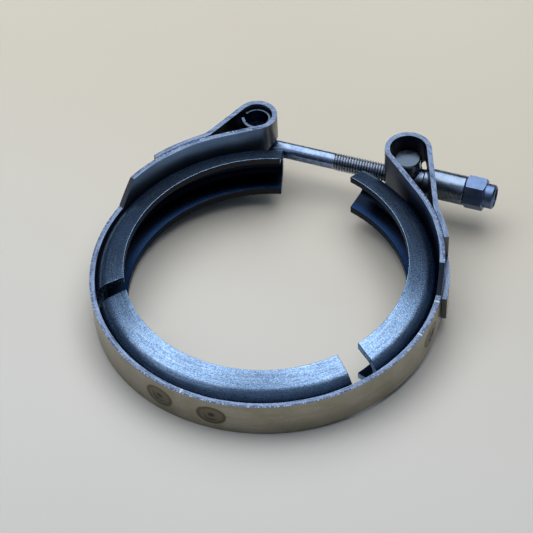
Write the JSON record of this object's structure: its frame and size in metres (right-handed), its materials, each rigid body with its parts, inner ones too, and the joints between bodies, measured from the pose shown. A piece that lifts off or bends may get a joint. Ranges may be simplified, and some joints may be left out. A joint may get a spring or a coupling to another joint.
{
  "type": "v band clamp",
  "caption": "V band clamp: a folded sheet strap with looped ends, V-section retainers inside it, and a T-bolt with a barrel trunnion and lock nut that draws the loops together.",
  "frame": {"origin": "centre of the ring, on the mid-plane of the V retainers", "axes": "+Z along the ring's axis; the T-bolt runs along X on the +Y side, its nut at the +X end"},
  "size_m": [0.1522, 0.1606, 0.036],
  "materials": {
    "strap_steel": "satin cold-rolled stainless sheet",
    "retainer_steel": "rolled stainless sheet, mottled",
    "bolt_steel": "rolled thread, satin",
    "trunnion_steel": "forged and turned, dull",
    "nut_steel": "machined, satin"
  },
  "bodies": {
    "band": {"strap": "strap_steel", "v_retainer_left": "retainer_steel", "v_retainer_front": "retainer_steel", "v_retainer_right": "retainer_steel"},
    "t_bolt": {"t_bolt": "bolt_steel", "rolled_sleeve": "bolt_steel"},
    "trunnion": {"barrel_trunnion": "trunnion_steel"},
    "nut": {"lock_nut": "nut_steel"}
  },
  "joints": [
    {"name": "t_bolt_pivot", "type": "hinge", "parent": "band", "child": "t_bolt", "pos_m": [-0.032, 0.0764, -0.0025], "axis": [0, 0, 1], "range_deg": [-0.9, 0.9]},
    {"name": "trunnion_slide", "type": "slide", "parent": "t_bolt", "child": "trunnion", "axis": [1, 0, 0], "range_m": [-0.00063, 0.00125]},
    {"name": "nut_turn", "type": "hinge", "parent": "trunnion", "child": "nut", "pos_m": [0.07, 0.0764, -0.0025], "axis": [1, 0, 0], "range_deg": [-180, 360]}
  ],
  "couplings": [
    {"joint": "nut_turn", "follows": "trunnion_slide", "rad_per_m": 5026.5}
  ]
}
